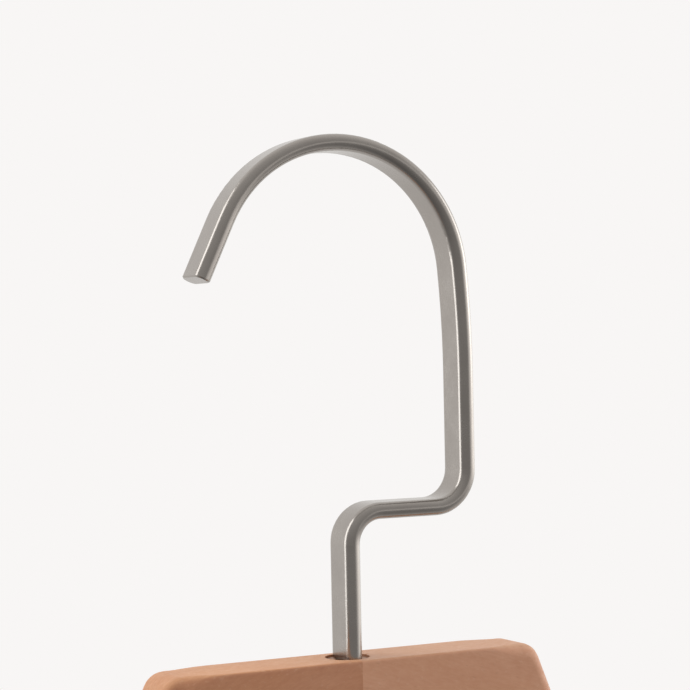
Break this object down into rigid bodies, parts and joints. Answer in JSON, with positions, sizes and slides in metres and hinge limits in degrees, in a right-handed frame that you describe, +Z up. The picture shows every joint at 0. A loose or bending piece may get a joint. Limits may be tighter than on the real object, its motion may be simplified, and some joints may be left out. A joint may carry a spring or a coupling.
{
  "type": "clothes hanger",
  "caption": "Flat wooden clothes hanger: swan-necked flat-bar metal hook that swivels in the neck, two glued arms, a round trouser bar with a ribbed sleeve between the arm ends.",
  "frame": {"origin": "on the swivel axis, on the inside face of the hook's crown, where the rail carries the hanger", "axes": "+Z up along the swivel axis, +X along the arms towards the side away from the hook's tip, -Y the front"},
  "size_m": [0.444, 0.0118, 0.2086],
  "materials": {
    "hook_metal": "satin nickel",
    "swivel_steel": "zinc plated",
    "barrel_brass": "turned",
    "washer_fibre": "brown vulcanised fibre",
    "left_wood": "clear matt lacquer",
    "right_wood": "clear matt lacquer",
    "dowel_wood": "raw beech",
    "bar_wood": "clear matt lacquer",
    "sleeve_vinyl": "soft ribbed vinyl",
    "screw_steel": "nickel plated"
  },
  "bodies": {
    "hook": {"hook": "hook_metal", "retaining_washer": "swivel_steel", "spring_washer": "swivel_steel", "tang_nut": "swivel_steel"},
    "hanger_body": {"left_arm": "left_wood", "right_arm": "right_wood", "joint_dowels": "dowel_wood", "swivel_barrel": "barrel_brass", "thrust_washer": "washer_fibre", "trouser_bar": "bar_wood", "bar_sleeve": "sleeve_vinyl", "bar_screws": "screw_steel"}
  },
  "joints": [
    {"name": "hook_swivel", "type": "hinge", "parent": "hook", "child": "hanger_body", "pos_m": [0, 0, -0.08963], "axis": [0, 0, 1], "continuous": true}
  ]
}
